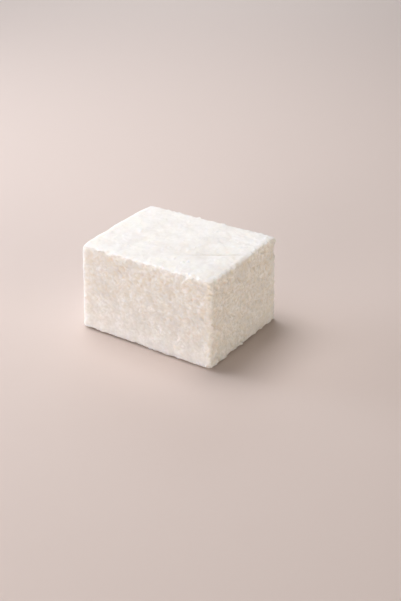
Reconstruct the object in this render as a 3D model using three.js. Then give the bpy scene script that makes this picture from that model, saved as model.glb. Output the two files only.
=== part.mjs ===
// A block of white brined cheese, standing as it is served: one solid, in millimetres, +Z up.
// Its length runs along X and its width along Y, and the middle of its base is the origin.
// The end at -X kept the soft, rounded skin of the mould that it was pressed in, and it and the front
// widen towards the base. The other sides are cut faces: their edges are sharper, and curds have crumbled
// from them.

import * as THREE from "three";
import { SimplexNoise } from "three/addons/math/SimplexNoise.js";
import { mergeVertices } from "three/addons/utils/BufferGeometryUtils.js";

// Driving dimensions of the block. Its length and width are those at half its height.
const LENGTH = 102.8;
const WIDTH = 75.7;
const HEIGHT = 60.7;
const TOP_FALL = 0.9; // how much lower the top lies at the moulded end
const MOULDED_DRAFT = 2.4; // how much further the moulded end stands out at the base than at the top
const FRONT_DRAFT = 2.2; // the same for the front
const MOULDED_BOW = 1.3; // how far the moulded end bulges, most of all at two thirds of its width
const CORNER_DROOP = 2.4; // how far the top sinks towards its corner at the moulded end and the front
const DROOP_REACH = 14; // how far from that corner the top begins to sink

// Radii of the edges. The upright ones are named by their end, moulded or cut, and by their side,
// front (-Y) or back (+Y).
const MOULDED_FRONT_RADIUS = 5;
const MOULDED_BACK_RADIUS = 6.5;
const CUT_FRONT_RADIUS = 3.4;
const CUT_BACK_RADIUS = 1.2;
const TOP_RIM_RADIUS = 1.8; // along the front and the back
const MOULDED_RIM_RADIUS = 3.6; // of the top rim at the moulded end
const CUT_RIM_RADIUS = 3.0; // of the top rim at the cut end
const CUT_RIM_REACH = 8; // how far from the cut end its wider rim has run out
const BOTTOM_RIM_RADIUS = 2.4;
const BASE_PRESS = 0.8; // how much of the lower skin the block's own weight has pressed flat

// Relief of the skin: lengths of its waves and lumps, and how far they stand out of the mean surface.
const SWELL_LENGTH = 34;
const SWELL_HEIGHT = 0.35;
const CURD_SIZE = 6.2;
const CURD_HEIGHT = 0.9;
const CRUMB_SIZE = 3.4;
const CRUMB_HEIGHT = 1.2;
const CRUMBLY_BORDER = 7; // how far from an edge the crumbs thin out
const MOULDED_SKIN = 16; // how far from the moulded end the skin stays smooth

// Bites along the cut edges, where small flakes broke off. Those on the near edges are given one by one:
// their share of the edge from its start, their lean in degrees from the edge's first side to its second,
// and their depth in millimetres. The front upright edge starts at the base, where its corner is worn off.
const BITE_RADIUS = 4;
const FRONT_TOP_BITES = [
  [0.15, 78, 1.6],
  [0.23, 76, 2.2],
  [0.315, 24, 0.9],
  [0.38, 74, 1.1],
  [0.52, 22, 1.1],
  [0.615, 20, 1.5],
  [0.73, 74, 1.5],
  [0.82, 20, 1.5],
  [0.88, 76, 1.8],
];
const END_TOP_BITES = [
  [0.12, 66, 0.7],
  [0.34, 72, 0.8],
  [0.48, 24, 1.0],
  [0.62, 74, 1.3],
  [0.75, 24, 1.0],
  [0.9, 72, 1.6],
];
const FRONT_UPRIGHT_BITES = [
  [0.0, 45, 2.2],
  [0.17, 35, 1.0],
  [0.46, 50, 0.9],
  [0.78, 40, 0.8],
];
const BITE_SPACING = 8.5; // of the bites on the other edges, which are strewn by a seeded rule
const BITE_DEPTH = 0.8;
const UNBITTEN_END = 12; // how far from the moulded end the strewn bites begin

// A shallow step that crosses the top, from near its middle to the cut end.
const STEP_START = { x: 2.5, y: -21 };
const STEP_END = { x: 49, y: 6.5 };
const STEP_DEPTH = 0.35;
const STEP_RUNOUT = 11;

// The net of the skin: spans along each side, and how much closer they lie at the edges than in the middle.
const SPANS_ALONG = 38;
const SPANS_ACROSS = 28;
const SPANS_UP = 23;
const EDGE_CROWDING = 0.42;

const CORE_INSET = 15; // the skin is found along lines that leave a smaller inner box, this far inside
const REACH = 2.5; // how far outside the plain box the skin may be looked for
const BISECTIONS = 26;

const HALF_LENGTH = LENGTH / 2;
const HALF_WIDTH = WIDTH / 2;
const HALF_HEIGHT = HEIGHT / 2;

// Repeatable random numbers from 0 to 1.
function seededRandom(seed) {
  let state = seed >>> 0;
  return () => {
    state = (Math.imul(state, 1664525) + 1013904223) >>> 0;
    return state / 4294967296;
  };
}

// A repeatable number from 0 to 1 for a cell of the grid that the lumps grow in.
function cellValue(i, j, k, salt) {
  let mixed = Math.imul(i, 374761393) ^ Math.imul(j, 668265263);
  mixed ^= Math.imul(k, 2147483629) ^ Math.imul(salt, 1274126177);
  mixed = Math.imul(mixed ^ (mixed >>> 13), 1103515245);
  return ((mixed ^ (mixed >>> 16)) >>> 0) / 4294967296;
}

const waves = new SimplexNoise({ random: seededRandom(11) });

// Packed lumps of about the given size: 1 on the crown of the proudest lump, towards 0 in the gaps.
function lumps(point, size, salt) {
  const x = point.x / size;
  const y = point.y / size;
  const z = point.z / size;
  let nearest = Infinity;
  let pride = 0;
  for (let i = Math.floor(x) - 1; i <= Math.floor(x) + 1; i++) {
    for (let j = Math.floor(y) - 1; j <= Math.floor(y) + 1; j++) {
      for (let k = Math.floor(z) - 1; k <= Math.floor(z) + 1; k++) {
        const dx = i + cellValue(i, j, k, salt) - x;
        const dy = j + cellValue(i, j, k, salt + 1) - y;
        const dz = k + cellValue(i, j, k, salt + 2) - z;
        const distance = Math.hypot(dx, dy, dz);
        if (distance < nearest) {
          nearest = distance;
          pride = cellValue(i, j, k, salt + 3);
        }
      }
    }
  }
  return Math.max(0, 1 - nearest * nearest) * (0.35 + 0.65 * pride);
}

// How far out of its middle plane a side with a draft stands, at a height counted from mid-height.
function draftAt(draft, height) {
  return (-draft * height) / HEIGHT;
}

// How far the moulded end bulges at a place across it.
function bowAt(y) {
  const share = THREE.MathUtils.clamp(0.5 + y / WIDTH, 0, 1);
  return MOULDED_BOW * 6.75 * share * share * (1 - share);
}

// How far the top has sunk at a place, towards its corner at the moulded end and the front.
function droopAt(point) {
  const fromCorner = Math.hypot(point.x + HALF_LENGTH, point.y + HALF_WIDTH);
  return CORNER_DROOP * (1 - THREE.MathUtils.smoothstep(fromCorner, 0, DROOP_REACH));
}

// Signed distance to the rounded outline of the block at a height, seen from above and negative inside.
function outlineDistance({ x, y, z }) {
  const moulded = x < 0;
  const back = y > 0;
  let radius = back ? CUT_BACK_RADIUS : CUT_FRONT_RADIUS;
  if (moulded) radius = back ? MOULDED_BACK_RADIUS : MOULDED_FRONT_RADIUS;
  const reachX = HALF_LENGTH + (moulded ? draftAt(MOULDED_DRAFT, z) + bowAt(y) : 0);
  const reachY = HALF_WIDTH + (back ? 0 : draftAt(FRONT_DRAFT, z));
  const beyondX = Math.abs(x) - reachX + radius;
  const beyondY = Math.abs(y) - reachY + radius;
  const outside = Math.hypot(Math.max(beyondX, 0), Math.max(beyondY, 0));
  return Math.min(Math.max(beyondX, beyondY), 0) + outside - radius;
}

// 0 at the moulded end and 1 from where its smooth skin has turned into the skin of the cut faces.
function cutness(point) {
  return THREE.MathUtils.smoothstep(point.x + HALF_LENGTH, 0, MOULDED_SKIN);
}

// The radius of the top rim at a place: wider at both ends than along the front and the back.
function topRimAt(point) {
  const fromMoulded = THREE.MathUtils.lerp(MOULDED_RIM_RADIUS, TOP_RIM_RADIUS, cutness(point));
  const fromCut = THREE.MathUtils.smoothstep(HALF_LENGTH - point.x, 0, CUT_RIM_REACH);
  return THREE.MathUtils.lerp(CUT_RIM_RADIUS, fromMoulded, fromCut);
}

// Signed distance to the plain block with its rounded rims, before its base is pressed flat. Heights are
// counted from the middle of the block.
function blockDistance(point) {
  const upper = point.z > 0;
  const fall = TOP_FALL * THREE.MathUtils.clamp(0.5 - point.x / LENGTH, 0, 1);
  const top = HALF_HEIGHT - fall - droopAt(point);
  const base = -HALF_HEIGHT - BASE_PRESS;
  const rim = upper ? topRimAt(point) : BOTTOM_RIM_RADIUS;
  const beyondSide = outlineDistance(point) + rim;
  const beyondLevel = (upper ? point.z - top : base - point.z) + rim;
  const outside = Math.hypot(Math.max(beyondSide, 0), Math.max(beyondLevel, 0));
  return Math.min(Math.max(beyondSide, beyondLevel), 0) + outside - rim;
}

// 1 on an edge of the block and 0 further than the crumbly border from any edge.
function edgeNearness(point) {
  const fromSides = [
    HALF_LENGTH - Math.abs(point.x),
    HALF_WIDTH - Math.abs(point.y),
    HALF_HEIGHT - Math.abs(point.z),
  ].sort((a, b) => a - b);
  return 1 - THREE.MathUtils.smoothstep(fromSides[1], 0, CRUMBLY_BORDER);
}

// How far the skin stands out of the plain block, in millimetres.
function relief(point) {
  const roughness = 0.35 + 0.65 * cutness(point);
  const wave = point.clone().divideScalar(SWELL_LENGTH);
  const swell = SWELL_HEIGHT * waves.noise3d(wave.x, wave.y, wave.z);
  const curds = CURD_HEIGHT * (lumps(point, CURD_SIZE, 3) - 0.4);
  const crumbs = CRUMB_HEIGHT * (lumps(point, CRUMB_SIZE, 23) - 0.4) * edgeNearness(point);
  return swell + roughness * (curds + crumbs);
}

// How deep the step on the top is at a place: sharp on its far side, and run out towards the near corner.
function stepDepth(point) {
  const along = new THREE.Vector2(STEP_END.x - STEP_START.x, STEP_END.y - STEP_START.y);
  const length = along.length();
  along.divideScalar(length);
  const fromStart = new THREE.Vector2(point.x - STEP_START.x, point.y - STEP_START.y);
  const share = fromStart.dot(along) / length;
  const behind = along.x * fromStart.y - along.y * fromStart.x;
  if (point.z < 0 || share < 0 || share > 1 || behind < 0) return 0;
  const fade = THREE.MathUtils.smoothstep(share, 0, 0.3);
  return STEP_DEPTH * fade * (1 - THREE.MathUtils.smoothstep(behind, 0, STEP_RUNOUT));
}

// A ball that bites a flake out of a straight edge at a share of its length. It comes from between the two
// sides that meet there: at a lean of 0 degrees straight at the first side, and at 90 at the second.
function biteAt(edge, share, lean, depth, radius) {
  const angle = THREE.MathUtils.degToRad(lean);
  const centre = edge.start.clone().lerp(edge.end, share);
  centre.addScaledVector(edge.firstSide, Math.cos(angle) * (radius - depth));
  centre.addScaledVector(edge.secondSide, Math.sin(angle) * (radius - depth));
  return { centre, radius };
}

// Uneven bites along a whole edge, by the seeded rule.
function strewBites(edge, random) {
  const length = edge.start.distanceTo(edge.end);
  const strewn = [];
  for (let place = BITE_SPACING * random(); place < length; place += BITE_SPACING * (0.5 + random())) {
    const lean = 15 + 60 * random();
    const depth = BITE_DEPTH * (0.3 + random());
    const radius = BITE_RADIUS * (0.5 + random());
    strewn.push(biteAt(edge, place / length, lean, depth, radius));
  }
  return strewn;
}

// The bites of all the cut edges. The moulded end has none.
function makeBites() {
  const random = seededRandom(5);
  const corner = (x, y, z) => {
    const height = z * HALF_HEIGHT;
    const reachX = HALF_LENGTH + (x < 0 ? draftAt(MOULDED_DRAFT, height) : 0);
    const reachY = HALF_WIDTH + (y < 0 ? draftAt(FRONT_DRAFT, height) : 0);
    return new THREE.Vector3(x * reachX, y * reachY, height);
  };
  const edge = (start, end, firstSide, secondSide) => ({
    start: corner(...start),
    end: corner(...end),
    firstSide: new THREE.Vector3(...firstSide),
    secondSide: new THREE.Vector3(...secondSide),
  });
  const unbitten = UNBITTEN_END / HALF_LENGTH - 1;
  const frontTop = edge([-1, -1, 1], [1, -1, 1], [0, -1, 0], [0, 0, 1]);
  const endTop = edge([1, -1, 1], [1, 1, 1], [1, 0, 0], [0, 0, 1]);
  const frontUpright = edge([1, -1, -1], [1, -1, 1], [0, -1, 0], [1, 0, 0]);
  const strewn = [
    edge([unbitten, 1, 1], [1, 1, 1], [0, 1, 0], [0, 0, 1]),
    edge([1, 1, -1], [1, 1, 1], [1, 0, 0], [0, 1, 0]),
    edge([unbitten, -1, -1], [1, -1, -1], [0, -1, 0], [0, 0, -1]),
    edge([1, -1, -1], [1, 1, -1], [1, 0, 0], [0, 0, -1]),
    edge([unbitten, 1, -1], [1, 1, -1], [0, 1, 0], [0, 0, -1]),
  ];
  const named = [
    [frontTop, FRONT_TOP_BITES],
    [endTop, END_TOP_BITES],
    [frontUpright, FRONT_UPRIGHT_BITES],
  ];
  return [
    ...named.flatMap(([each, list]) => list.map((bite) => biteAt(each, ...bite, BITE_RADIUS))),
    ...strewn.flatMap((each) => strewBites(each, random)),
  ];
}

const bites = makeBites();

// Signed distance to the finished skin, with its base flat.
function cheeseDistance(point) {
  let distance = blockDistance(point) - relief(point) + stepDepth(point);
  for (const bite of bites) distance = Math.max(distance, bite.radius - point.distanceTo(bite.centre));
  return Math.max(distance, -HALF_HEIGHT - point.z);
}

// Moves a point of the plain box onto the skin, along the line that leaves the inner box under it.
function settle(point) {
  const reachOf = (half) => half - CORE_INSET;
  const core = new THREE.Vector3(
    THREE.MathUtils.clamp(point.x, -reachOf(HALF_LENGTH), reachOf(HALF_LENGTH)),
    THREE.MathUtils.clamp(point.y, -reachOf(HALF_WIDTH), reachOf(HALF_WIDTH)),
    THREE.MathUtils.clamp(point.z, -reachOf(HALF_HEIGHT), reachOf(HALF_HEIGHT)),
  );
  const outward = point.clone().sub(core);
  const length = outward.length();
  outward.divideScalar(length);
  let inside = 0;
  let outside = length + REACH;
  for (let step = 0; step < BISECTIONS; step++) {
    const middle = (inside + outside) / 2;
    const here = core.clone().addScaledVector(outward, middle);
    if (cheeseDistance(here) < 0) inside = middle;
    else outside = middle;
  }
  return core.addScaledVector(outward, (inside + outside) / 2);
}

// A place from -1 to 1 along a side, moved so that the net is closer near both ends.
function crowd(place) {
  return (1 - EDGE_CROWDING) * place + EDGE_CROWDING * Math.sin((Math.PI / 2) * place);
}

// The closed skin of the block as one geometry.
function makeSkin() {
  const box = new THREE.BoxGeometry(2, 2, 2, SPANS_ALONG, SPANS_ACROSS, SPANS_UP);
  box.deleteAttribute("normal");
  box.deleteAttribute("uv");
  const skin = mergeVertices(box, 1e-4);
  const places = skin.getAttribute("position");
  for (let i = 0; i < places.count; i++) {
    const point = new THREE.Vector3(
      HALF_LENGTH * crowd(places.getX(i)),
      HALF_WIDTH * crowd(places.getY(i)),
      HALF_HEIGHT * crowd(places.getZ(i)),
    );
    const settled = settle(point);
    places.setXYZ(i, settled.x, settled.y, settled.z);
  }
  return skin;
}

// Puts the middle of the base at the origin, whatever the crumbled sides measure.
function standOnOrigin(geometry) {
  geometry.computeBoundingBox();
  const { min, max } = geometry.boundingBox;
  geometry.translate(-(min.x + max.x) / 2, -(min.y + max.y) / 2, -min.z);
  geometry.computeVertexNormals();
  return geometry;
}

const brinedCurd = new THREE.MeshStandardMaterial({ color: 0xf4efe6, roughness: 0.55, metalness: 0 });

const block = new THREE.Mesh(standOnOrigin(makeSkin()), brinedCurd);
block.name = "cheese_block";

const cheese = new THREE.Group();
cheese.add(block);

export default cheese;
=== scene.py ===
"""A block of white brined cheese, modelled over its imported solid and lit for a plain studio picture.

Everything is in metres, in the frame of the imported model: +X runs along the block to its cut end, +Y to
its back and +Z up, and the origin is the middle of its base.
"""

import logging
import math
from collections.abc import Callable, Iterator
from dataclasses import dataclass, field
from enum import Enum
from functools import cached_property

import bpy
from bpy.types import Material, MeshVertex, Node, NodeSocket, Object, Texture
from mathutils import Euler, Matrix, Quaternion, Vector

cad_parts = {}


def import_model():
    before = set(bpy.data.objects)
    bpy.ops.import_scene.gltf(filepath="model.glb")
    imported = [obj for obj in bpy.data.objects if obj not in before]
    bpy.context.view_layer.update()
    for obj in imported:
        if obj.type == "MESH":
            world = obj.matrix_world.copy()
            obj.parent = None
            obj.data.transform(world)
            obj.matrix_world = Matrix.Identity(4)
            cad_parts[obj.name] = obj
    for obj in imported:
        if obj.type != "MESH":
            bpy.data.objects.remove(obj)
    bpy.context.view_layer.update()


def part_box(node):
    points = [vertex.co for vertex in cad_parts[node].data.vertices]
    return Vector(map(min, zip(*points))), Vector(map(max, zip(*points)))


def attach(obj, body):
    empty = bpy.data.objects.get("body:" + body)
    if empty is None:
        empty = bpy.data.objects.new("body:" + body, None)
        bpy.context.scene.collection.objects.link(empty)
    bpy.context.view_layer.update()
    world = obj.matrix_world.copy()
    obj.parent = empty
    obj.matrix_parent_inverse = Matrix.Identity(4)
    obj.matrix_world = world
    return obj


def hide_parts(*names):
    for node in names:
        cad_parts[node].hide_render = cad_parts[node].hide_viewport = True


Triple = tuple[float, float, float]
Band = tuple[float, float]
Hump = tuple[Band, Band]

MM = 0.001
NODE = "cheese_block"
ASKEW: Triple = (0.52, 0.37, 0.81)
VOXEL = 0.42 * MM
SMOOTHING = 0.5

log = logging.getLogger("cheese")


class Side(Enum):
    """The outward normal of each side of the block."""

    MOULDED = (-1, 0, 0)
    CUT = (1, 0, 0)
    FRONT = (0, -1, 0)
    BACK = (0, 1, 0)
    BASE = (0, 0, -1)
    TOP = (0, 0, 1)

    @property
    def normal(self) -> Vector:
        """The side's outward normal."""
        return Vector(self.value)


MOULDED, CUT, FRONT, BACK, BASE, TOP = Side


class Pattern(Enum):
    """The procedural textures that relief is made from."""

    CLOUDS = "CLOUDS"
    CELLS = "VORONOI"
    TORN = "DISTORTED_NOISE"


class SeededDraw:
    """Repeatable random numbers from 0 to 1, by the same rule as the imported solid's source."""

    MULTIPLIER = 1664525
    INCREMENT = 1013904223
    MODULUS = 2**32

    def __init__(self, seed: int) -> None:
        """Starts the row of numbers from a seed."""
        self.state = seed

    def number(self) -> float:
        """The next number."""
        self.state = (self.state * self.MULTIPLIER + self.INCREMENT) % self.MODULUS
        return self.state / self.MODULUS

    def between(self, low: float, high: float) -> float:
        """The next number, spread from low to high."""
        return blend(low, high, self.number())

    def direction(self) -> Vector:
        """Picks any direction.

        Returns:
            A unit vector.
        """
        height = self.between(-1, 1)
        turn = self.between(0, math.tau)
        flat = math.sqrt(1 - height * height)
        return Vector((flat * math.cos(turn), flat * math.sin(turn), height))


def select_only(*chosen: Object) -> None:
    """Selects these objects alone and makes the first one active.

    Args:
        chosen: The objects.
    """
    bpy.ops.object.select_all(action="DESELECT")
    for each in chosen:
        each.select_set(True)
    bpy.context.view_layer.objects.active = chosen[0]


def shape_with(piece: Object, kind: str, **settings: object) -> None:
    """Adds one modifier to a piece and applies it.

    Args:
        piece: The piece that is shaped.
        kind: The modifier's type.
        settings: The modifier's properties by name.
    """
    select_only(piece)
    modifier = piece.modifiers.new(kind.title(), kind)
    for name, value in settings.items():
        setattr(modifier, name, value)
    bpy.ops.object.modifier_apply(modifier=modifier.name)


def clear_choice(piece: Object, kind: str) -> None:
    """Lets go of a mesh's whole selection, before vertices or edges of it are chosen.

    Args:
        piece: The piece whose mesh it is.
        kind: What is chosen next: VERT or EDGE.
    """
    select_only(piece)
    bpy.ops.object.mode_set(mode="EDIT")
    bpy.ops.mesh.select_mode(type=kind)
    bpy.ops.mesh.select_all(action="DESELECT")
    bpy.ops.object.mode_set(mode="OBJECT")


def blend(start: float, end: float, share: float) -> float:
    """The number at a share of the way from start to end."""
    return start + (end - start) * share


def smoothstep(low: float, high: float, value: float) -> float:
    """A soft step at a value: 0 up to low, and 1 from high on."""
    share = min(max((value - low) / (high - low), 0.0), 1.0)
    return share * share * (3 - 2 * share)


def fade(reach: float, distance: float) -> float:
    """A soft fall at a distance: 1 where there is none, and 0 from the reach on."""
    return 1 - smoothstep(0, reach, distance)


def hump(bands: Hump, value: float) -> float:
    """A soft hump at a value: up from 0 to 1 over one band, and down again over another."""
    rise, fall = bands
    return smoothstep(*rise, value) * (1 - smoothstep(*fall, value))


@dataclass(frozen=True)
class BlockEdge:
    """A straight edge of the block. It runs away from the side that it starts at."""

    first: Side
    second: Side
    start: Side

    def place(self, half: Vector, share: float) -> Vector:
        """The point at a share of the edge's length, counted from the middle of the block."""
        along = self.start.normal * (1 - 2 * share)
        return (self.first.normal + self.second.normal + along) * half

    def length(self, half: Vector) -> float:
        """The edge's length, for half of the block's length, width and height."""
        return 2 * abs(self.start.normal.dot(half))

    def lean(self, degrees: float) -> Vector:
        """The direction between the two sides: the first one's normal at 0, the second one's at 90."""
        turn = math.radians(degrees)
        return self.first.normal * math.cos(turn) + self.second.normal * math.sin(turn)


@dataclass(frozen=True)
class Relief:
    """One layer of relief: lumps of one size, raised or sunk along the skin's normals.

    The middle is the texture's value at which the skin stays where it is, the depth is the number of
    finer octaves, and the band is the part of the texture's values that is spread over its whole range.
    """

    name: str
    pattern: Pattern
    size: float
    height: float
    zone: str = ""
    middle: float = 0.5
    depth: int = 2
    band: Band | None = None

    def texture(self) -> Texture:
        """Makes the procedural texture that the layer is raised by.

        Returns:
            The texture.
        """
        texture = bpy.data.textures.new(self.name, self.pattern.value)
        texture.noise_scale = self.size
        if self.pattern is Pattern.CLOUDS:
            texture.noise_depth = self.depth
            texture.noise_basis = "IMPROVED_PERLIN"
        elif self.pattern is Pattern.CELLS:
            texture.distance_metric = "DISTANCE_SQUARED"
        else:
            texture.noise_basis = "VORONOI_F2_F1"
            texture.noise_distortion = "IMPROVED_PERLIN"
            texture.distortion = 1.0
        if self.band:
            texture.use_color_ramp = True
            dark, light = texture.color_ramp.elements
            dark.position, light.position = self.band
            dark.color = (0, 0, 0, 1)
            light.color = (1, 1, 1, 1)
        return texture

    def raise_on(self, piece: Object, direction: str = "NORMAL") -> None:
        """Raises the layer on a piece, as far as the zone's weights say.

        Args:
            piece: The piece whose skin is raised.
            direction: The way that it is raised: along the skin's normals, or along one axis.
        """
        shape_with(
            piece,
            "DISPLACE",
            texture=self.texture(),
            texture_coords="LOCAL",
            direction=direction,
            vertex_group=self.zone,
            strength=self.height,
            mid_level=self.middle,
        )


@dataclass(frozen=True)
class Noise:
    """A noise of the finish: one wave's length in millimetres, its finer octaves and how far it is bent.

    The band is where its effect sets in.
    """

    wave: float
    detail: float
    distortion: float
    band: Band = (0.0, 1.0)


class ShaderBench:
    """Lays out the nodes of one material."""

    def __init__(self, name: str) -> None:
        """Starts an empty material with a Principled shader.

        Args:
            name: The material's name.
        """
        self.material = bpy.data.materials.new(name)
        self.material.use_nodes = True
        self.tree = self.material.node_tree
        self.shader = self.tree.nodes["Principled BSDF"]

    def add(self, kind: str) -> Node:
        """Adds a node of a type."""
        return self.tree.nodes.new(kind)

    def link(self, source: NodeSocket, target: NodeSocket) -> None:
        """Links an output to an input."""
        self.tree.links.new(source, target)

    def set_shader(self, **values: object) -> None:
        """Sets values that are the same all over the surface, by socket name with _ for a space."""
        for name, value in values.items():
            self.shader.inputs[name.replace("_", " ")].default_value = value

    @cached_property
    def space(self) -> NodeSocket:
        """The piece's Object coordinates in millimetres, turned askew to its sides."""
        place = self.add("ShaderNodeTexCoord")
        scaled = self.add("ShaderNodeMapping")
        scaled.inputs["Scale"].default_value = (1 / MM,) * 3
        scaled.inputs["Rotation"].default_value = ASKEW
        self.link(place.outputs["Object"], scaled.inputs["Vector"])
        return scaled.outputs["Vector"]

    def noise(self, kind: Noise) -> NodeSocket:
        """Adds a noise texture.

        Args:
            kind: The noise.

        Returns:
            The output with the noise, from 0 to 1.
        """
        node = self.add("ShaderNodeTexNoise")
        node.inputs["Scale"].default_value = 1 / kind.wave
        node.inputs["Detail"].default_value = kind.detail
        node.inputs["Distortion"].default_value = kind.distortion
        self.link(self.space, node.inputs["Vector"])
        return node.outputs["Fac"]

    def attribute(self, name: str) -> NodeSocket:
        """Reads a number that is painted on the piece's points.

        Args:
            name: The attribute's name.

        Returns:
            The output with the number.
        """
        node = self.add("ShaderNodeAttribute")
        node.attribute_name = name
        return node.outputs["Fac"]

    def spread(self, value: NodeSocket, band: Band, over: Band = (0.0, 1.0)) -> NodeSocket:
        """Spreads a band of values over another one, with soft ends.

        Args:
            value: The output with the values.
            band: Where the values start and stop to count.
            over: What they become at the band's two ends.

        Returns:
            The output with the spread values.
        """
        node = self.add("ShaderNodeMapRange")
        node.interpolation_type = "SMOOTHSTEP"
        self.link(value, node.inputs["Value"])
        for name, end in zip(("From Min", "From Max", "To Min", "To Max"), (*band, *over)):
            node.inputs[name].default_value = end
        return node.outputs["Result"]

    def product(self, first: NodeSocket, second: NodeSocket) -> NodeSocket:
        """Multiplies two outputs.

        Args:
            first: One output.
            second: The other output.

        Returns:
            The output with the product.
        """
        node = self.add("ShaderNodeMath")
        node.operation = "MULTIPLY"
        self.link(first, node.inputs[0])
        self.link(second, node.inputs[1])
        return node.outputs[0]

    def mix(self, share: NodeSocket, first: Triple | NodeSocket, second: Triple) -> NodeSocket:
        """Mixes two colours.

        Args:
            share: How much of the second colour there is, from 0 to 1.
            first: The first colour, or the output that gives it.
            second: The second colour.

        Returns:
            The output with the mixed colour.
        """
        node = self.add("ShaderNodeMix")
        node.data_type = "RGBA"
        share_in, first_in, second_in = (node.inputs[i] for i in (0, 6, 7))
        self.link(share, share_in)
        second_in.default_value = (*second, 1)
        if isinstance(first, NodeSocket):
            self.link(first, first_in)
        else:
            first_in.default_value = (*first, 1)
        return node.outputs[2]

    def bump(
        self, heights: NodeSocket, height: float, strength: NodeSocket, under: NodeSocket | None = None
    ) -> NodeSocket:
        """Adds a bump.

        Args:
            heights: The output with the bump's heights, from 0 to 1.
            height: The greatest height, in metres.
            strength: The output that says how much of the bump shows.
            under: The normals of another bump that this one lies on.

        Returns:
            The output with the normals.
        """
        node = self.add("ShaderNodeBump")
        self.link(strength, node.inputs["Strength"])
        node.inputs["Distance"].default_value = height
        self.link(heights, node.inputs["Height"])
        if under:
            self.link(under, node.inputs["Normal"])
        return node.outputs["Normal"]


@dataclass(frozen=True)
class SkinPaint:
    """What the points of the skin are painted with, as numbers from 0 to 1.

    The clefts are painted 0 on a crown, a half on even skin and 1 deep down. The whey paint is partly a
    cream tint of whey and partly painted shade: it darkens the sides, most of all up high. It is nearly
    gone from the foot of the front, which is painted lighter as if lit from the floor, and from the top,
    and it is taken off the rim and the moulded end, which are painted lighter. The step's shadow is
    painted shade: a darker line behind the lip of the step.
    """

    CLEFT = "cleft"
    WHEY_AND_SHADE = "whey_and_shade"
    STEP_SHADOW = "seam"
    smoothing: int = 36
    depth: float = 0.5 * MM
    # The whey paint by place: partly whey, partly painted shade, and lighter where it is low.
    top_whey_and_shade: float = 0.04
    side_whey_and_shade: float = 0.75
    low_side_whey_and_shade: float = 0.5
    low_front_whey_and_shade: float = 0.06
    lighter_rim: float = 0.8
    lighter_end: float = 0.7
    front_turn: Band = (0.3, 0.8)
    end_turn: Band = (0.1, 0.7)
    top_turn: Band = (0.4, 0.85)
    side_rise: Band = (0.05, 0.8)
    rim_rise: Band = (0.88, 0.98)

    def paint(self, piece: Object, height: float, step_shadow_at: Callable[[Vector], float]) -> None:
        """Paints the clefts, whey with painted shade and the step's painted shadow on the piece's points.

        Args:
            piece: The finished piece, which is compared with a smoothed copy of itself.
            height: The block's height.
            step_shadow_at: Gives the share of the step's painted shadow, from 0 to 1, at a point.
        """
        even = piece.copy()
        even.data = piece.data.copy()
        bpy.context.collection.objects.link(even)
        shape_with(even, "SMOOTH", factor=SMOOTHING, iterations=self.smoothing)
        smooth = even.data.vertices
        painted = {
            self.CLEFT: [self.cleft_at(v, s.co) for v, s in zip(piece.data.vertices, smooth)],
            self.WHEY_AND_SHADE: [self.whey_and_shade_at(s.co.z / height, s.normal) for s in smooth],
            self.STEP_SHADOW: [step_shadow_at(v.co) for v in piece.data.vertices],
        }
        bpy.data.objects.remove(even)
        for name, numbers in painted.items():
            attribute = piece.data.attributes.new(name, "FLOAT", "POINT")
            attribute.data.foreach_set("value", numbers)

    def cleft_at(self, vertex: MeshVertex, smooth: Vector) -> float:
        """How deep in a cleft a point lies below its place on the smoothed skin."""
        sunk = (smooth - vertex.co).dot(vertex.normal)
        return min(max(0.5 + 0.5 * sunk / self.depth, 0.0), 1.0)

    def whey_and_shade_at(self, share: float, normal: Vector) -> float:
        """How much whey tint and painted shade there is on the skin.

        Args:
            share: The place's height, as a share of the block's.
            normal: The smoothed skin's normal there.

        Returns:
            The whey and painted shade, from 0 to 1.
        """
        # Painted shade on the sides; lighter at the foot of the front, the rim, the moulded end and the
        # top.
        front = smoothstep(*self.front_turn, -normal.y)
        low = blend(self.low_side_whey_and_shade, self.low_front_whey_and_shade, front)
        side = blend(low, self.side_whey_and_shade, smoothstep(*self.side_rise, share))
        side *= 1 - self.lighter_rim * smoothstep(*self.rim_rise, share)
        side *= 1 - self.lighter_end * smoothstep(*self.end_turn, -normal.x)
        return blend(side, self.top_whey_and_shade, smoothstep(*self.top_turn, normal.z))


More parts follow.
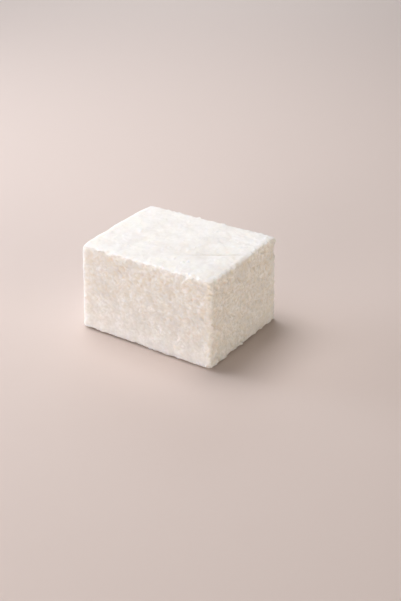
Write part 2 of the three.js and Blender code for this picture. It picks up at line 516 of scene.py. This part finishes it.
@dataclass(frozen=True)
class CurdFinish:
    """The moist white curd.

    Colours are linear, and a band is where the effect of what is painted sets in. The cream on the sides
    and the tint in clefts are partly whey and partly painted shade, and the step has a painted shadow.
    """

    name: str = "brined_curd"
    curd_white: Triple = (0.965, 0.935, 0.89)
    damp_white: Triple = (0.845, 0.818, 0.777)
    speck_tint: Triple = (0.78, 0.745, 0.69)
    # Cream that is partly whey and partly painted shade on the sides.
    whey_and_shade_cream: Triple = (0.86, 0.80, 0.70)
    # Painted shade in clefts, partly whey.
    cleft_whey_and_shade: Triple = (0.82, 0.74, 0.62)
    # Painted shadow behind the lip of the step.
    step_shadow_tint: Triple = (0.78, 0.725, 0.655)

    damp: Noise = Noise(12.0, 2, 0.5, band=(0.38, 0.66))
    damp_whey_and_shade: Band = (0.05, 0.4)
    least_damp: float = 0.6
    specks: Noise = Noise(2.1, 2, 0.4, band=(0.36, 0.64))
    speck_share: float = 0.6
    pools: Noise = Noise(4.2, 2, 0.8, band=(0.42, 0.68))
    cleft_band: Band = (0.45, 0.9)

    scatter_radius: Triple = (1.0, 0.88, 0.74)
    scatter_scale: float = 7.0 * MM
    scatter_share: float = 0.6
    refraction: float = 1.40
    specular: float = 0.35
    dull_and_moist: Band = (0.66, 0.48)

    curds: Noise = Noise(2.4, 3, 1.1, band=(0.3, 0.7))
    curd_height: float = 0.37 * MM
    grain: Noise = Noise(0.9, 2, 0.3)
    grain_height: float = 0.26 * MM
    fine_whey_and_shade: Band = (0.04, 0.12)
    least_fine: float = 0.25

    def make(self) -> Material:
        """Makes the material from procedural nodes on Object coordinates.

        Returns:
            The material.
        """
        bench = ShaderBench(self.name)
        curds = bench.noise(self.curds)
        # The whey paint, which is partly whey and partly painted shade.
        whey_and_shade = bench.attribute(SkinPaint.WHEY_AND_SHADE)
        fine = bench.spread(whey_and_shade, self.fine_whey_and_shade, (self.least_fine, 1.0))
        inputs = bench.shader.inputs
        bench.link(self.tint(bench, whey_and_shade, fine), inputs["Base Color"])
        bench.link(bench.spread(curds, self.curds.band, self.dull_and_moist), inputs["Roughness"])
        bench.set_shader(
            Subsurface_Weight=self.scatter_share,
            Subsurface_Radius=self.scatter_radius,
            Subsurface_Scale=self.scatter_scale,
            IOR=self.refraction,
            Specular_IOR_Level=self.specular,
        )
        rough = bench.bump(bench.noise(self.grain), self.grain_height, fine)
        skin = bench.bump(curds, self.curd_height, fine, under=rough)
        bench.link(skin, inputs["Normal"])
        return bench.material

    def tint(self, bench: ShaderBench, whey_and_shade: NodeSocket, fine: NodeSocket) -> NodeSocket:
        """Mixes the colour: curd, damp, specks, whey and clefts with painted shade, and a painted shadow.

        Args:
            bench: The material's bench.
            whey_and_shade: The output with the paint of whey and painted shade.
            fine: The output that says how much of the fine detail shows.

        Returns:
            The output with the colour.
        """
        patches = bench.spread(bench.noise(self.damp), self.damp.band)
        damp = bench.product(patches, bench.spread(whey_and_shade, self.damp_whey_and_shade, (self.least_damp, 1.0)))
        specks = bench.spread(bench.noise(self.specks), self.specks.band, (0.0, self.speck_share))
        pools = bench.spread(bench.noise(self.pools), self.pools.band)
        clefts = bench.spread(bench.attribute(SkinPaint.CLEFT), self.cleft_band)
        colour = bench.mix(damp, self.curd_white, self.damp_white)
        colour = bench.mix(bench.product(specks, fine), colour, self.speck_tint)
        # Pools of cream where the whey paint is high: partly whey, partly painted shade on the sides.
        colour = bench.mix(bench.product(pools, whey_and_shade), colour, self.whey_and_shade_cream)
        # Painted shade in the clefts, partly whey, where the whey paint is high.
        colour = bench.mix(bench.product(clefts, whey_and_shade), colour, self.cleft_whey_and_shade)
        # Painted shadow: a darker line behind the lip of the step.
        return bench.mix(bench.attribute(SkinPaint.STEP_SHADOW), colour, self.step_shadow_tint)


@dataclass(frozen=True)
class PlainBlock:
    """The plain block under the crags: its size, the lean of its sides and the radius of each edge.

    The moulded end and the front lean outwards towards the base by their drafts, the top falls towards
    the moulded end, and the base is modelled a little too low, to be pressed flat later.
    """

    half: Vector
    name: str = "brined_cheese_block"
    top_fall: float = 0.9 * MM
    base_press: float = 0.8 * MM
    moulded_draft: float = 2.4 * MM
    front_draft: float = 2.2 * MM
    radii: tuple[tuple[Side, Side, float], ...] = (
        (MOULDED, FRONT, 5.0 * MM),
        (MOULDED, BACK, 6.5 * MM),
        (CUT, FRONT, 3.4 * MM),
        (CUT, BACK, 1.2 * MM),
        (MOULDED, TOP, 3.6 * MM),
        (MOULDED, BASE, 2.4 * MM),
        (CUT, TOP, 3.0 * MM),
        (CUT, BASE, 1.3 * MM),
        (FRONT, TOP, 1.8 * MM),
        (FRONT, BASE, 2.4 * MM),
        (BACK, TOP, 1.8 * MM),
        (BACK, BASE, 2.4 * MM),
    )
    edge_steps: int = 6

    @property
    def middle(self) -> Vector:
        """The middle of the block, which stands on z = 0."""
        return Vector((0, 0, self.half.z))

    def edge_point(self, edge: BlockEdge, share: float) -> Vector:
        """The point at a share of an edge, with the drafts of the moulded end and the front.

        Args:
            edge: The edge.
            share: 0 at the edge's start and 1 at its end.

        Returns:
            The point.
        """
        point = edge.place(self.half, share)
        low = -point.z / self.half.z / 2
        point.x -= self.moulded_draft * low * (1 - point.x / self.half.x) / 2
        point.y -= self.front_draft * low * (1 - point.y / self.half.y) / 2
        return self.middle + point

    def model(self) -> Object:
        """Models the plain block and rounds each edge by its own radius.

        Returns:
            The block.
        """
        bpy.ops.object.select_all(action="DESELECT")
        size = 2 * self.half + Vector((0, 0, self.base_press))
        centre = self.middle - Vector((0, 0, self.base_press / 2))
        bpy.ops.mesh.primitive_cube_add(size=1, location=centre, scale=size)
        blank = bpy.context.object
        blank.name = blank.data.name = self.name
        bpy.ops.object.transform_apply(location=True, rotation=True, scale=True)
        self.push(blank, (MOULDED, TOP), TOP.normal * -self.top_fall)
        for side, draft in ((MOULDED, self.moulded_draft), (FRONT, self.front_draft)):
            self.push(blank, (side, BASE), side.normal * draft / 2)
            self.push(blank, (side, TOP), side.normal * -draft / 2)
        widest = max(radius for _, _, radius in self.radii)
        for first, second, radius in self.radii:
            self.weigh_edge(blank, (first, second), radius / widest)
        shape_with(blank, "BEVEL", width=widest, segments=self.edge_steps, limit_method="WEIGHT")
        return blank

    def push(self, blank: Object, sides: tuple[Side, ...], by: Vector) -> None:
        """Moves the corners of the plain block that lie on all of these sides.

        Args:
            blank: The plain block.
            sides: The sides.
            by: How far the corners move.
        """
        clear_choice(blank, "VERT")
        for vertex in blank.data.vertices:
            corner = vertex.co - self.middle
            vertex.select = all(corner.dot(side.normal) > 0 for side in sides)
        bpy.ops.object.mode_set(mode="EDIT")
        bpy.ops.transform.translate(value=by)
        bpy.ops.object.mode_set(mode="OBJECT")

    def weigh_edge(self, blank: Object, sides: tuple[Side, Side], weight: float) -> None:
        """Gives the edge between two sides its share of the widest bevel.

        Args:
            blank: The plain block.
            sides: The two sides that meet at the edge.
            weight: The edge's radius, as a share of the widest one.
        """
        clear_choice(blank, "EDGE")
        corner = sides[0].normal + sides[1].normal
        for edge in blank.data.edges:
            ends = [blank.data.vertices[i].co - self.middle for i in edge.vertices]
            on_both = all(end.dot(side.normal) > 0 for end in ends for side in sides)
            edge.select = on_both and abs((ends[0] - ends[1]).dot(corner)) < self.half.z
        bpy.ops.object.mode_set(mode="EDIT")
        bpy.ops.transform.edge_bevelweight(value=weight)
        bpy.ops.object.mode_set(mode="OBJECT")


@dataclass(frozen=True)
class EdgeBites:
    """The shallow flakes that are broken out of the block's edges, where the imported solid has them.

    A bite that shows in the photograph is given as its share of the edge, its lean in degrees and its
    depth in millimetres. The others are strewn: their least depth, radius and spacing are shares of the
    common ones, and they have up to one common depth, radius or spacing more.
    """

    plain: PlainBlock
    radius: float = 4.0 * MM
    depth: float = 0.8 * MM
    spacing: float = 8.5 * MM
    least_depth: float = 0.3
    least_radius: float = 0.5
    least_spacing: float = 0.5
    leans: Band = (15, 75)
    unbitten_end: float = 12 * MM
    seed: int = 5
    ragged_size: float = 2.6 * MM
    ragged_height: float = 0.9 * MM

    front_top: tuple[Triple, ...] = (
        (0.15, 78, 1.6),
        (0.23, 76, 2.2),
        (0.315, 24, 0.9),
        (0.38, 74, 1.1),
        (0.52, 22, 1.1),
        (0.615, 20, 1.5),
        (0.73, 74, 1.5),
        (0.82, 20, 1.5),
        (0.88, 76, 1.8),
    )
    end_top: tuple[Triple, ...] = (
        (0.12, 66, 0.7),
        (0.34, 72, 0.8),
        (0.48, 24, 1.0),
        (0.62, 74, 1.3),
        (0.75, 24, 1.0),
        (0.9, 72, 1.6),
    )
    front_upright: tuple[Triple, ...] = (
        (0.0, 66, 3.0),
        (0.17, 35, 1.0),
        (0.46, 50, 0.9),
        (0.78, 40, 0.8),
        (0.97, 45, 1.2),
    )
    strewn_edges: tuple[tuple[Side, Side, Side], ...] = (
        (BACK, TOP, MOULDED),
        (CUT, BACK, BASE),
        (FRONT, BASE, MOULDED),
        (CUT, BASE, FRONT),
        (BACK, BASE, MOULDED),
    )

    def shown(self) -> Iterator[tuple[Vector, float]]:
        """Places the balls that bite the flakes which show in the photograph.

        Yields:
            The middle and radius of each ball.
        """
        edges = (
            (BlockEdge(FRONT, TOP, MOULDED), self.front_top),
            (BlockEdge(CUT, TOP, FRONT), self.end_top),
            (BlockEdge(FRONT, CUT, BASE), self.front_upright),
        )
        for edge, places in edges:
            for share, lean, depth in places:
                out = self.radius - depth * MM
                yield self.plain.edge_point(edge, share) + edge.lean(lean) * out, self.radius

    def strewn(self) -> Iterator[tuple[Vector, float]]:
        """Places the balls that bite the edges which hardly show.

        Yields:
            The middle and radius of each ball.
        """
        draw = SeededDraw(self.seed)
        for sides in self.strewn_edges:
            edge = BlockEdge(*sides)
            length = edge.length(self.plain.half)
            place = self.spacing * draw.number()
            if edge.start is MOULDED:
                place += self.unbitten_end
            while place < length:
                lean = edge.lean(draw.between(*self.leans))
                depth = self.depth * (self.least_depth + draw.number())
                radius = self.radius * (self.least_radius + draw.number())
                yield self.plain.edge_point(edge, place / length) + lean * (radius - depth), radius
                place += self.spacing * (self.least_spacing + draw.number())

    def take(self, blank: Object) -> None:
        """Cuts the ragged bites out of the block's edges.

        Args:
            blank: The rounded block.
        """
        balls = []
        for centre, radius in (*self.shown(), *self.strewn()):
            bpy.ops.mesh.primitive_ico_sphere_add(subdivisions=3, radius=radius, location=centre)
            balls.append(bpy.context.object)
        select_only(*balls)
        bpy.ops.object.transform_apply(location=True, rotation=True, scale=True)
        bpy.ops.object.join()
        cutter = bpy.context.object
        Relief("ragged_bite", Pattern.CLOUDS, self.ragged_size, self.ragged_height).raise_on(cutter)
        shape_with(cutter, "REMESH", mode="VOXEL", voxel_size=VOXEL)
        shape_with(blank, "BOOLEAN", operation="DIFFERENCE", solver="MANIFOLD", object=cutter)
        bpy.data.objects.remove(cutter)


@dataclass(frozen=True)
class Crumbs:
    """The crumbs along the cut edges and the larger curds of the skin.

    Sizes are shares of the common radius. The crumbs are coarser on the edges that face the camera, worn
    down on the top and left out at the moulded end. Each is sunk by a share of its own height.
    """

    plain: PlainBlock
    kinds: int = 6
    kind_spacing: float = 3.1
    lump: Relief = Relief("crumb", Pattern.CLOUDS, 0.9, 1.1)
    radius: float = 1.1 * MM
    flatness: float = 0.6
    edge_spacing: float = 1.4 * MM
    least_spacing: float = 0.35
    edge_spread: float = 2.2 * MM
    edge_sizes: Band = (0.4, 1.2)
    bare_end: float = 13.0 * MM
    coarse: float = 1.3
    skin_spacing: float = 4.6 * MM
    skin_sizes: Band = (0.7, 1.9)
    worn: float = 0.74
    tilt: float = 0.35
    sinking: Band = (0.45, 0.9)
    seed: int = 31

    edges: tuple[tuple[Side, Side, Side], ...] = (
        (FRONT, TOP, CUT),
        (CUT, TOP, FRONT),
        (BACK, TOP, CUT),
        (FRONT, CUT, BASE),
        (CUT, BACK, BASE),
        (FRONT, BASE, CUT),
        (CUT, BASE, FRONT),
        (BACK, BASE, CUT),
    )

    def model_kinds(self) -> list[Object]:
        """Models the kinds of crumb that are copied over the block.

        Returns:
            Flat uneven lumps, whose radius is about one unit.
        """
        models = []
        for kind in range(self.kinds):
            apart = Vector((self.kind_spacing * kind, 0, 0))
            bpy.ops.mesh.primitive_ico_sphere_add(subdivisions=2, radius=1, location=apart)
            crumb = bpy.context.object
            bpy.ops.object.transform_apply(location=True, rotation=True, scale=True)
            self.lump.raise_on(crumb)
            flat = Matrix.Diagonal((1, 1, self.flatness, 1))
            crumb.data.transform(flat @ Matrix.Translation(-apart))
            models.append(crumb)
        return models

    def at_edges(self, draw: SeededDraw) -> Iterator[tuple[Vector, float]]:
        """Points near the cut edges where crumbs stick, and their radius.

        Args:
            draw: The row of random numbers.

        Yields:
            A point outside the block, and a radius.
        """
        for sides in self.edges:
            edge = BlockEdge(*sides)
            coarse = edge.start is FRONT and edge.second is not BASE
            length = edge.length(self.plain.half)
            place = self.edge_spacing * draw.number()
            while place < length - self.bare_end:
                stray = self.edge_spread * draw.number()
                inward = edge.first.normal if draw.number() < 0.5 else edge.second.normal
                point = self.plain.edge_point(edge, place / length) - inward * stray
                size = self.radius * draw.between(*self.edge_sizes)
                yield point, size * (self.coarse if coarse else 1)
                place += self.edge_spacing * (self.least_spacing + draw.number())

    def in_skin(self, draw: SeededDraw) -> Iterator[tuple[Vector, float]]:
        """Points on the sides and the top where larger curds show, and their radius.

        Args:
            draw: The row of random numbers.

        Yields:
            A point near the skin, and a radius.
        """
        half = self.plain.half
        axes = [Vector(axis) for axis in ((1, 0, 0), (0, 1, 0), (0, 0, 1))]
        for side in (TOP, FRONT, CUT, BACK):
            worn = self.worn if side is TOP else 1
            across = [axis * axis.dot(half) for axis in axes if not axis.dot(side.normal)]
            rows, columns = (round(2 * reach.length / self.skin_spacing) for reach in across)
            for cell in range(rows * columns):
                down = 2 * (cell // columns + draw.number()) / rows - 1
                along = 2 * (cell % columns + draw.number()) / columns - 1
                point = side.normal * half + across[0] * down + across[1] * along
                yield self.plain.middle + point, worn * self.radius * draw.between(*self.skin_sizes)

    def strew(self, block: Object) -> list[Object]:
        """Copies the kinds of crumb to their places, part sunk in the skin.

        Args:
            block: The bitten block.

        Returns:
            The copies.
        """
        draw = SeededDraw(self.seed)
        places = []
        for point, radius in (*self.at_edges(draw), *self.in_skin(draw)):
            _, place, normal, _ = block.closest_point_on_mesh(point)
            tilted = normal + self.tilt * draw.direction()
            turned = Quaternion((0, 0, 1), draw.between(0, math.tau))
            turn = tilted.to_track_quat("Z", "Y") @ turned
            sunk = place - normal * self.flatness * radius * draw.between(*self.sinking)
            places.append(Matrix.LocRotScale(sunk, turn, Vector((radius,) * 3)))
        models = self.model_kinds()
        crumbs = []
        for count, place in enumerate(places):
            crumb = models[count % self.kinds].copy()
            crumb.data = crumb.data.copy()
            crumb.matrix_world = place
            bpy.context.collection.objects.link(crumb)
            crumbs.append(crumb)
        for model in models:
            bpy.data.objects.remove(model)
        return crumbs


@dataclass(frozen=True)
class TopStep:
    """The low step across the top, with a painted shadow behind its lip.

    Behind its lip the top falls, and it runs out further back. The extents are shares of its length, and
    the painted shadow's width is counted from the lip.
    """

    least_height: float
    start: Band = (4.5 * MM, -23.2 * MM)
    end: Band = (52 * MM, 6.5 * MM)
    depth: float = 1.35 * MM
    fall: float = 4.5 * MM
    runout: float = 13 * MM
    extent: Hump = ((0.05, 0.6), (0.78, 0.98))
    # Where the painted shadow runs along the step, and how wide it is behind the lip.
    step_shadow_extent: Hump = ((0.15, 0.55), (0.8, 0.98))
    step_shadow_width: Hump = ((0.0, 1.12 * MM), (1.4 * MM, 5.6 * MM))

    def place(self, point: Vector) -> tuple[float, float]:
        """Where a point lies by the step.

        Args:
            point: The point.

        Returns:
            The share of the step's length that it lies at, and how far it is behind the lip, or two
            zeros for a point low down.
        """
        if point.z < self.least_height:
            return 0.0, 0.0
        start = Vector(self.start)
        along = Vector(self.end) - start
        length = along.length
        along.normalize()
        offset = point.xy - start
        return offset.dot(along) / length, along.x * offset.y - along.y * offset.x

    def sunk(self, point: Vector) -> float:
        """How deep the top sinks at a point, as a share of the step's depth.

        Args:
            point: The point.

        Returns:
            The share, from 0 to 1.
        """
        share, behind = self.place(point)
        fallen = min(max(behind, 0.0) / self.fall, 1.0)
        fallen *= 1 - smoothstep(self.fall, self.runout, behind)
        return hump(self.extent, share) * fallen

    def seam(self, point: Vector) -> float:
        """How much of the painted shadow behind the lip there is at a point, from 0 to 1."""
        share, behind = self.place(point)
        return hump(self.step_shadow_extent, share) * hump(self.step_shadow_width, behind)


@dataclass(frozen=True)
class SkinZones:
    """Where the layers of relief and the moves act: a weight from 0 to 1 for each vertex, by zone.

    The bow's peak is the factor that brings its furthest point to 1.
    """

    plain: PlainBlock
    step: TopStep
    moulded_skin: float = 16.0 * MM
    moulded_roughness: float = 0.4
    top_roughness: float = 0.58
    top_turn: Band = (0.5, 0.9)
    side_turn: Band = (0.3, 0.7)
    bow_peak: float = 27 / 4
    droop_reach: float = 9.5 * MM
    cut_droop_reach: float = 13 * MM
    cut_droop_end: float = 0.6
    top_height: float = 1.8
    shoulder_reach: float = 6.5 * MM
    shoulder_front: Band = (0.3, 0.9)
    gap_depth: float = 4.0 * MM
    gap_end: float = 1.4
    gap_rise: Band = (0.24 * MM, 1.68 * MM)

    @property
    def half(self) -> Vector:
        """Half of the plain block's length, width and height."""
        return self.plain.half

    def weigh(self, block: Object) -> None:
        """Weighs the zones as vertex groups of the block.

        Args:
            block: The fused block.
        """
        zones: dict[str, Callable[[MeshVertex], float]] = {
            "curdy": self.curdiness,
            "pitted": self.pitting,
            "step": lambda vertex: self.step.sunk(vertex.co),
            "bow": self.bow,
            "droop": self.droop,
            "cut_droop": self.cut_droop,
            "shoulder": self.shoulder,
            "gap": self.gap,
        }
        for name, weight_at in zones.items():
            group = block.vertex_groups.new(name=name)
            for vertex in block.data.vertices:
                weight = weight_at(vertex)
                if weight > 0:
                    group.add([vertex.index], weight, "REPLACE")

    def curdiness(self, vertex: MeshVertex) -> float:
        """How rough the skin is: 1 on the cut sides, less on the top and towards the moulded end.

        Args:
            vertex: The vertex.

        Returns:
            The roughness, from 0 to 1.
        """
        from_end = smoothstep(0, self.moulded_skin, vertex.co.x + self.half.x)
        worn = blend(1, self.top_roughness, smoothstep(*self.top_turn, vertex.normal.z))
        return blend(self.moulded_roughness, 1, from_end) * worn

    def pitting(self, vertex: MeshVertex) -> float:
        """How torn the skin is: as much as it is rough, but not on the top."""
        return self.curdiness(vertex) * (1 - smoothstep(*self.side_turn, vertex.normal.z))

    def bow(self, vertex: MeshVertex) -> float:
        """How far the moulded end bulges: most of all at two thirds of the width, towards the back.

        Args:
            vertex: The vertex.

        Returns:
            The share of the bow, from 0 to 1.
        """
        width = min(max(0.5 + vertex.co.y / self.half.y / 2, 0.0), 1.0)
        near_end = fade(self.half.x, vertex.co.x + self.half.x)
        return self.bow_peak * width * width * (1 - width) * near_end

    def height(self, vertex: MeshVertex) -> float:
        """How near the top a vertex is: 0 at half of the block's height, and 1 from near the top on."""
        return smoothstep(self.half.z, self.top_height * self.half.z, vertex.co.z)

    def droop(self, vertex: MeshVertex) -> float:
        """How far the top sinks towards its corner at the moulded end and the front."""
        near = fade(self.droop_reach, (vertex.co.xy + self.half.xy).length)
        return near * self.height(vertex)

    def cut_droop(self, vertex: MeshVertex) -> float:
        """How far the top sinks towards the cut end, and less and less towards the back.

        Args:
            vertex: The vertex.

        Returns:
            The share of the droop, from 0 to 1.
        """
        near = fade(self.cut_droop_reach, self.half.x - vertex.co.x)
        end = self.cut_droop_end * self.half.y
        return near * (1 - smoothstep(-end, end, vertex.co.y)) * self.height(vertex)

    def shoulder(self, vertex: MeshVertex) -> float:
        """How far the front leans inwards: more and more from under the top to the top itself."""
        rise = max(vertex.co.z - 2 * self.half.z + self.shoulder_reach, 0.0) / self.shoulder_reach
        return min(rise, 1.0) ** 2 * smoothstep(*self.shoulder_front, -vertex.co.y / self.half.y)

    def gap(self, vertex: MeshVertex) -> float:
        """How far the base is lifted off the floor: all along its rim, and nowhere further in.

        Args:
            vertex: The vertex.

        Returns:
            The share of the lift, from 0 to 1.
        """
        from_side = self.half.xy - Vector((abs(vertex.co.x), abs(vertex.co.y)))
        along, across = self.plain.moulded_draft / 2, self.plain.front_draft / 2
        inward = min(from_side.x + along, from_side.y + across)
        under = 1 - smoothstep(*self.gap_rise, vertex.co.z)
        return under * (1 - smoothstep(self.gap_depth, self.gap_end * self.gap_depth, inward))


@dataclass
class CheeseBlock:
    """The block: a rounded blank, bitten along its edges, crumbed, fused and given the relief of curd.

    Its stand is how far the relief stands out from the plain block.
    """

    low: Vector
    high: Vector
    finish: CurdFinish = CurdFinish()

    stand: Triple = (1.64 * MM, 1.34 * MM, 0.42 * MM)
    fused_smoothing: int = 2
    curd_flatness: float = 1.4
    moulded_bow: float = 1.3 * MM
    corner_droop: float = 2.1 * MM
    cut_droop: float = 1.3 * MM
    front_shoulder: float = 0.65 * MM
    base_lift: float = 0.5 * MM
    most_triangles: int = 192000

    reliefs: tuple[Relief, ...] = (
        Relief("swell", Pattern.CLOUDS, 30 * MM, 0.7 * MM, depth=1),
        Relief("waves", Pattern.CLOUDS, 11 * MM, 0.9 * MM, depth=1),
        Relief("lumps", Pattern.CLOUDS, 5.6 * MM, 1.35 * MM, "curdy", depth=1),
        Relief("clumps", Pattern.CLOUDS, 3.0 * MM, 1.05 * MM, "curdy", depth=1),
        Relief("curds", Pattern.CELLS, 2.8 * MM, -0.4 * MM, "curdy", middle=0.25),
        Relief("clefts", Pattern.TORN, 3.2 * MM, 0.34 * MM, "pitted", 1.0, band=(0.02, 0.3)),
        Relief("grain", Pattern.CLOUDS, 1.2 * MM, 0.42 * MM, "curdy"),
        Relief("pits", Pattern.CLOUDS, 2.1 * MM, -0.8 * MM, "pitted", 0.0, band=(0.66, 0.85)),
    )
    base_gap: Relief = Relief("base_gap", Pattern.CLOUDS, 3.6 * MM, 1.0 * MM, "gap", middle=0.0)

    plain: PlainBlock = field(init=False)
    step: TopStep = field(init=False)

    def __post_init__(self) -> None:
        """Works the plain block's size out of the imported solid's box."""
        self.plain = PlainBlock((self.high - self.low) / 2 - Vector(self.stand))
        self.step = TopStep(self.plain.half.z)

    def build(self) -> Object:
        """Models the block, dresses it and hands it to the frame.

        Returns:
            The finished piece.
        """
        piece = self.plain.model()
        EdgeBites(self.plain).take(piece)
        self.fuse(piece, Crumbs(self.plain).strew(piece))
        SkinZones(self.plain, self.step).weigh(piece)
        self.raise_relief(piece)
        self.settle(piece)
        self.fit(piece)
        self.thin_out(piece)
        # Paints the clefts, whey with painted shade, and the step's painted shadow.
        SkinPaint().paint(piece, self.high.z, self.step.seam)
        select_only(piece)
        bpy.ops.object.shade_smooth()
        piece.data.materials.clear()
        piece.data.materials.append(self.finish.make())
        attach(piece, "root")
        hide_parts(NODE)
        return piece

    def fuse(self, block: Object, crumbs: list[Object]) -> None:
        """Joins the crumbs to the block as one skin of even mesh.

        Args:
            block: The bitten block.
            crumbs: The crumbs, in their places.
        """
        select_only(block, *crumbs)
        bpy.ops.object.join()
        shape_with(block, "REMESH", mode="VOXEL", voxel_size=VOXEL)
        shape_with(block, "SMOOTH", factor=SMOOTHING, iterations=self.fused_smoothing)

    def raise_relief(self, block: Object) -> None:
        """Raises the layers of relief, from the widest to the finest.

        The mesh is turned askew and drawn out for them, so that no row of the textures' lattice lines up
        with a side and the curds come out flatter than they are wide.

        Args:
            block: The fused block, with its zones weighed.
        """
        drawn_out = Matrix.Diagonal((1, 1, self.curd_flatness, 1))
        askew = Euler(ASKEW).to_matrix().to_4x4() @ drawn_out
        block.data.transform(askew)
        for layer in self.reliefs:
            layer.raise_on(block)
        block.data.transform(askew.inverted())

    def settle(self, block: Object) -> None:
        """Sinks the step and the worn corners, bows the moulded end and presses the base flat at z = 0.

        Args:
            block: The block with its relief.
        """
        moves = (
            ("step", "Z", -self.step.depth),
            ("bow", "X", -self.moulded_bow),
            ("droop", "Z", -self.corner_droop),
            ("cut_droop", "Z", -self.cut_droop),
            ("shoulder", "Y", self.front_shoulder),
            ("gap", "Z", self.base_lift),
        )
        for zone, direction, by in moves:
            shape_with(
                block, "DISPLACE", vertex_group=zone, direction=direction, strength=by, mid_level=0
            )
        self.base_gap.raise_on(block, "Z")
        for vertex in block.data.vertices:
            vertex.co.z = max(vertex.co.z, 0.0)

    def fit(self, block: Object) -> None:
        """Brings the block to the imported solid's box.

        Args:
            block: The settled block.
        """
        places = [vertex.co for vertex in block.data.vertices]
        low = Vector(min(place[axis] for place in places) for axis in range(3))
        high = Vector(max(place[axis] for place in places) for axis in range(3))
        size, wanted = high - low, self.high - self.low
        scale = Matrix.Diagonal((wanted.x / size.x, wanted.y / size.y, wanted.z / size.z, 1))
        centre = Matrix.Translation((-(low.x + high.x) / 2, -(low.y + high.y) / 2, -low.z))
        block.data.transform(scale @ centre)

    def thin_out(self, block: Object) -> None:
        """Brings the mesh under its most triangles, mostly where the skin is flat.

        Args:
            block: The fitted block.
        """
        block.vertex_groups.clear()
        triangles = sum(len(face.vertices) - 2 for face in block.data.polygons)
        if triangles > self.most_triangles:
            shape_with(block, "DECIMATE", ratio=self.most_triangles / triangles)
        for vertex in block.data.vertices:
            vertex.co.z = max(vertex.co.z, self.low.z)


@dataclass(frozen=True)
class StudioFloor:
    """The plain pale floor."""

    side: float = 8.0
    colour: Triple = (0.698, 0.601, 0.551)
    roughness: float = 0.85
    specular: float = 0.2

    def lay(self) -> None:
        """Lays the floor under the block."""
        bpy.ops.object.select_all(action="DESELECT")
        bpy.ops.mesh.primitive_plane_add(size=self.side)
        floor = bpy.context.object
        floor.name = "studio_floor"
        bench = ShaderBench("pale_floor")
        bench.set_shader(
            Base_Color=(*self.colour, 1),
            Roughness=self.roughness,
            Specular_IOR_Level=self.specular,
        )
        floor.data.materials.append(bench.material)


@dataclass(frozen=True)
class SoftLight:
    """A square area light that faces its target.

    Its azimuth is counted in degrees from -Y, where the front is, towards +X.
    """

    name: str
    azimuth: float
    elevation: float
    distance: float
    side: float
    power: float
    colour: Triple

    def hang(self, target: Vector) -> None:
        """Hangs the light and turns it to its target.

        Args:
            target: The point that the light faces.
        """
        turn, rise = math.radians(self.azimuth), math.radians(self.elevation)
        away = Vector(
            (math.sin(turn) * math.cos(rise), -math.cos(turn) * math.cos(rise), math.sin(rise))
        )
        bpy.ops.object.light_add(type="AREA", location=target + away * self.distance)
        lamp = bpy.context.object
        lamp.name = self.name
        lamp.rotation_mode = "QUATERNION"
        lamp.rotation_quaternion = away.to_track_quat("Z", "Y")
        lamp.data.size = self.side
        lamp.data.energy = self.power
        lamp.data.color = self.colour


@dataclass(frozen=True)
class PhotoCamera:
    """The camera at the photograph's own place and angle."""

    location: Triple = (0.3796, -0.5044, 0.3635)
    yaw: float = 35.580
    pitch: float = 28.812
    roll: float = -1.582
    lens: float = 98.00
    sensor: float = 36.0
    nearest: float = 0.01

    def place(self) -> None:
        """Adds the camera and makes it the scene's own."""
        bpy.ops.object.camera_add()
        camera = bpy.context.object
        camera.name = "photo_camera"
        camera.data.sensor_fit = "HORIZONTAL"
        camera.data.sensor_width = self.sensor
        camera.data.lens = self.lens
        camera.data.clip_start = self.nearest
        camera.matrix_world = (
            Matrix.Translation(self.location)
            @ Matrix.Rotation(math.radians(self.yaw), 4, "Z")
            @ Matrix.Rotation(math.radians(90 - self.pitch), 4, "X")
            @ Matrix.Rotation(math.radians(self.roll), 4, "Z")
        )
        bpy.context.scene.camera = camera


@dataclass(frozen=True)
class Studio:
    """The floor, the lights, the camera and the tone of the picture.

    Five lights face the block, and a sixth hangs over the floor behind it.
    """

    sky: Triple = (1.0, 1.0, 1.0)
    sky_strength: float = 0.05
    lights: tuple[SoftLight, ...] = (
        SoftLight("high_key", -105, 68, 1.0, side=0.6, power=7.5, colour=(1.0, 0.975, 0.975)),
        SoftLight("left_key", -75, 60, 1.0, side=0.6, power=1.15, colour=(1.0, 0.9, 0.95)),
        SoftLight("left_rim", -78, 9, 1.0, side=0.4, power=5.5, colour=(0.82, 0.89, 1.0)),
        SoftLight("low_front", 0, 8, 1.0, side=0.5, power=4.6, colour=(1.0, 0.94, 0.93)),
        SoftLight("low_right", 80, 7, 1.4, side=0.55, power=7.9, colour=(1.0, 0.92, 0.82)),
    )
    backdrop: Triple = (-0.87, 1.22, 0.0)
    backdrop_light: SoftLight = SoftLight(
        "backdrop_light", 0, 90, 0.8, side=0.8, power=8.0, colour=(0.88, 0.94, 1.0)
    )

    def set_up(self, middle: Vector) -> None:
        """Sets the studio up round the block.

        Args:
            middle: The middle of the block.
        """
        StudioFloor().lay()
        for light in self.lights:
            light.hang(middle)
        self.backdrop_light.hang(Vector(self.backdrop))
        PhotoCamera().place()
        scene = bpy.context.scene
        scene.world = bpy.data.worlds.new("soft_sky")
        scene.world.use_nodes = True
        sky = scene.world.node_tree.nodes["Background"]
        sky.inputs["Color"].default_value = (*self.sky, 1)
        sky.inputs["Strength"].default_value = self.sky_strength
        scene.view_settings.view_transform = "Standard"
        scene.view_settings.look = "None"


def main() -> None:
    """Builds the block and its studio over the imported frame, and reports each piece."""
    logging.basicConfig(level=logging.INFO, format="%(relativeCreated)d ms: %(message)s")
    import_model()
    low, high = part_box(NODE)
    block = CheeseBlock(low, high).build()
    log.info("%s: %d faces", block.name, len(block.data.polygons))
    Studio().set_up((low + high) / 2)
    bpy.context.view_layer.update()


if __name__ == "__main__":
    main()
